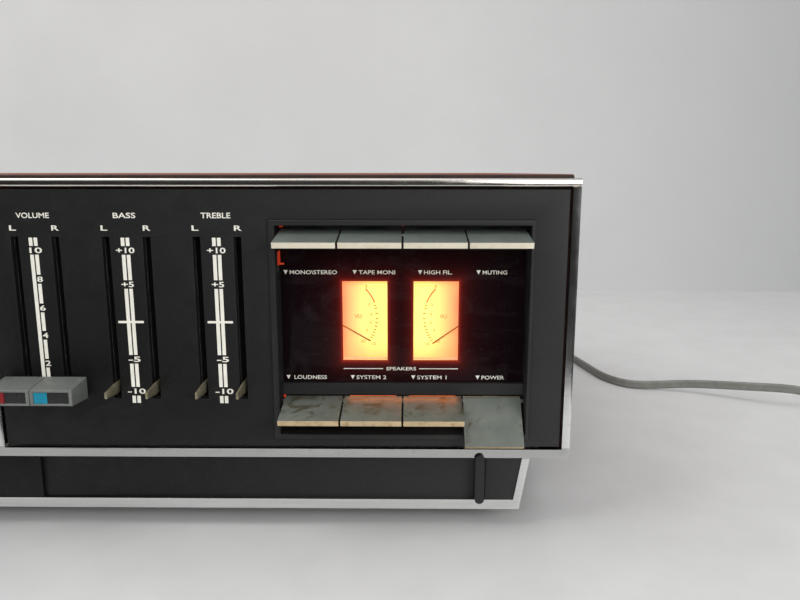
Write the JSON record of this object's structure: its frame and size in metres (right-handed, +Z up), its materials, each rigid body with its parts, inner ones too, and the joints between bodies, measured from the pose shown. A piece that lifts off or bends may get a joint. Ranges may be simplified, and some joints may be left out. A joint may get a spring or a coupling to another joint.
{
  "type": "stereo receiver",
  "caption": "Table-top stereo receiver in a wooden sleeve with slide tone controls, rocker keys, two lit level meters, a tuning dial and a sliding cover over its front sockets.",
  "frame": {"origin": "middle of the floor that the set covers, at table height, with the mains lead left out", "axes": "+X to the right seen from the front, +Y into the set from its front panel, +Z up"},
  "size_m": [0.7525, 0.3565, 0.1433],
  "materials": {
    "rosewood": "satin lacquered veneer, reddish brown",
    "bright_trim": "bright rolled trim",
    "panel_black": "fine matt black",
    "cover_black": "satin black",
    "plated_steel": "zinc plated",
    "rear_steel": "dark grey paint",
    "plinth_black": "matt black",
    "rubber": "matt",
    "socket_plastic": "black moulded",
    "bezel_plastic": "fine matt black",
    "smoked_glass": "smoked, glossy",
    "dial_glow": "translucent, lit from behind",
    "lamp_glass": "clear bulb",
    "needle": "thin dark red",
    "cap_grey": "satin grey",
    "key_grey": "satin grey on a cream moulding",
    "lever_brass": "dull, tarnished",
    "dial_plate": "black with cream printing",
    "pointer": "red",
    "knob_metal": "turned face, dark skirt",
    "core_iron": "varnished laminations",
    "sink_black": "black anodised",
    "board": "phenolic board with parts",
    "cord_grey": "grey PVC"
  },
  "bodies": {
    "receiver": {"wood_cabinet": "rosewood", "front_frame": "bright_trim", "right_panel": "panel_black", "left_panel": "panel_black", "fixed_strip": "panel_black", "strip_end": "panel_black", "front_plate": "plated_steel", "chassis": "plated_steel", "rear_panel": "rear_steel", "plinth": "plinth_black", "feet": "rubber", "socket_tray": "plinth_black", "headphone_sockets": "socket_plastic", "module_bezel": "bezel_plastic", "module_face": "bezel_plastic", "module_glass": "smoked_glass", "meter_cases": "bezel_plastic", "meter_dials": "dial_glow", "meter_lamps": "lamp_glass", "key_shafts": "plated_steel", "switch_bodies": "socket_plastic", "slide_controls": "socket_plastic", "dial_bezel": "bezel_plastic", "dial_glass": "smoked_glass", "dial_plate": "dial_plate", "pointer_rail": "plated_steel", "shaft_bushes": "lever_brass", "transformer": "core_iron", "heat_sink": "sink_black", "amplifier_board": "board", "board_parts": "board", "board_posts": "plated_steel", "rear_sockets": "socket_plastic", "screws": "plated_steel", "strain_relief": "cord_grey", "mains_cord": "cord_grey", "cord_coil": "cord_grey", "mains_plug": "cord_grey"},
    "slide_volume_left": {"volume_left_lever": "lever_brass", "volume_left_cap": "cap_grey"},
    "slide_volume_right": {"volume_right_lever": "lever_brass", "volume_right_cap": "cap_grey"},
    "slide_bass_left": {"bass_left_lever": "lever_brass"},
    "slide_bass_right": {"bass_right_lever": "lever_brass"},
    "slide_treble_left": {"treble_left_lever": "lever_brass"},
    "slide_treble_right": {"treble_right_lever": "lever_brass"},
    "rocker_stereo": {"key_stereo": "key_grey"},
    "rocker_tape": {"key_tape": "key_grey"},
    "rocker_filter": {"key_filter": "key_grey"},
    "rocker_muting": {"key_muting": "key_grey"},
    "rocker_loudness": {"key_loudness": "key_grey"},
    "rocker_speakers_b": {"key_speakers_b": "key_grey"},
    "rocker_speakers_a": {"key_speakers_a": "key_grey"},
    "rocker_power": {"key_power": "key_grey"},
    "meter_hand_left": {"left_needle": "needle"},
    "meter_hand_right": {"right_needle": "needle"},
    "strip_cover": {"sliding_cover": "cover_black", "cover_pull": "cover_black"},
    "tuning": {"tuning_knob": "knob_metal", "tuning_shaft": "plated_steel"},
    "pointer": {"dial_pointer": "pointer"},
    "selector": {"selector_knob": "knob_metal"}
  },
  "joints": [
    {"name": "volume_left_slide", "type": "slide", "parent": "receiver", "child": "slide_volume_left", "axis": [0, 0, 1], "range_m": [0, 0.0565]},
    {"name": "volume_right_slide", "type": "slide", "parent": "receiver", "child": "slide_volume_right", "axis": [0, 0, 1], "range_m": [0, 0.0565]},
    {"name": "bass_left_slide", "type": "slide", "parent": "receiver", "child": "slide_bass_left", "axis": [0, 0, 1], "range_m": [0, 0.0565]},
    {"name": "bass_right_slide", "type": "slide", "parent": "receiver", "child": "slide_bass_right", "axis": [0, 0, 1], "range_m": [0, 0.0565]},
    {"name": "treble_left_slide", "type": "slide", "parent": "receiver", "child": "slide_treble_left", "axis": [0, 0, 1], "range_m": [0, 0.0565]},
    {"name": "treble_right_slide", "type": "slide", "parent": "receiver", "child": "slide_treble_right", "axis": [0, 0, 1], "range_m": [0, 0.0565]},
    {"name": "key_stereo_rock", "type": "hinge", "parent": "receiver", "child": "rocker_stereo", "pos_m": [0.1264, -0.1204, 0.1202], "axis": [1, 0, 0], "range_deg": [0, 40]},
    {"name": "key_tape_rock", "type": "hinge", "parent": "receiver", "child": "rocker_tape", "pos_m": [0.1506, -0.1204, 0.1202], "axis": [1, 0, 0], "range_deg": [0, 40]},
    {"name": "key_filter_rock", "type": "hinge", "parent": "receiver", "child": "rocker_filter", "pos_m": [0.1748, -0.1204, 0.1202], "axis": [1, 0, 0], "range_deg": [0, 40]},
    {"name": "key_muting_rock", "type": "hinge", "parent": "receiver", "child": "rocker_muting", "pos_m": [0.199, -0.1204, 0.1202], "axis": [1, 0, 0], "range_deg": [0, 40]},
    {"name": "key_loudness_rock", "type": "hinge", "parent": "receiver", "child": "rocker_loudness", "pos_m": [0.1264, -0.1204, 0.0517], "axis": [1, 0, 0], "range_deg": [0, 40]},
    {"name": "key_speakers_b_rock", "type": "hinge", "parent": "receiver", "child": "rocker_speakers_b", "pos_m": [0.1506, -0.1204, 0.0517], "axis": [1, 0, 0], "range_deg": [0, 40]},
    {"name": "key_speakers_a_rock", "type": "hinge", "parent": "receiver", "child": "rocker_speakers_a", "pos_m": [0.1748, -0.1204, 0.0517], "axis": [1, 0, 0], "range_deg": [0, 40]},
    {"name": "key_power_rock", "type": "hinge", "parent": "receiver", "child": "rocker_power", "pos_m": [0.199, -0.1204, 0.0517], "axis": [1, 0, 0], "range_deg": [-40, 0]},
    {"name": "left_needle_swing", "type": "hinge", "parent": "receiver", "child": "meter_hand_left", "pos_m": [0.1359, -0.1134, 0.0829], "axis": [0, -1, 0], "range_deg": [0, 73], "stiffness_Nm_per_rad": 0.00001, "springref_deg": -17.19},
    {"name": "right_needle_swing", "type": "hinge", "parent": "receiver", "child": "meter_hand_right", "pos_m": [0.1876, -0.1134, 0.0829], "axis": [0, 1, 0], "range_deg": [0, 73], "stiffness_Nm_per_rad": 0.00001, "springref_deg": -17.19},
    {"name": "cover_slide", "type": "slide", "parent": "receiver", "child": "strip_cover", "axis": [-1, 0, 0], "range_m": [0, 0.165]},
    {"name": "tuning_turn", "type": "hinge", "parent": "receiver", "child": "tuning", "pos_m": [-0.036, -0.1284, 0.096], "axis": [0, 1, 0], "range_deg": [-500, 500]},
    {"name": "pointer_slide", "type": "slide", "parent": "receiver", "child": "pointer", "axis": [1, 0, 0], "range_m": [-0.055, 0.055]},
    {"name": "selector_turn", "type": "hinge", "parent": "receiver", "child": "selector", "pos_m": [-0.036, -0.1284, 0.053], "axis": [0, 1, 0], "range_deg": [-60, 60]}
  ],
  "couplings": [
    {"joint": "pointer_slide", "follows": "tuning_turn", "m_per_rad": 0.0063}
  ]
}
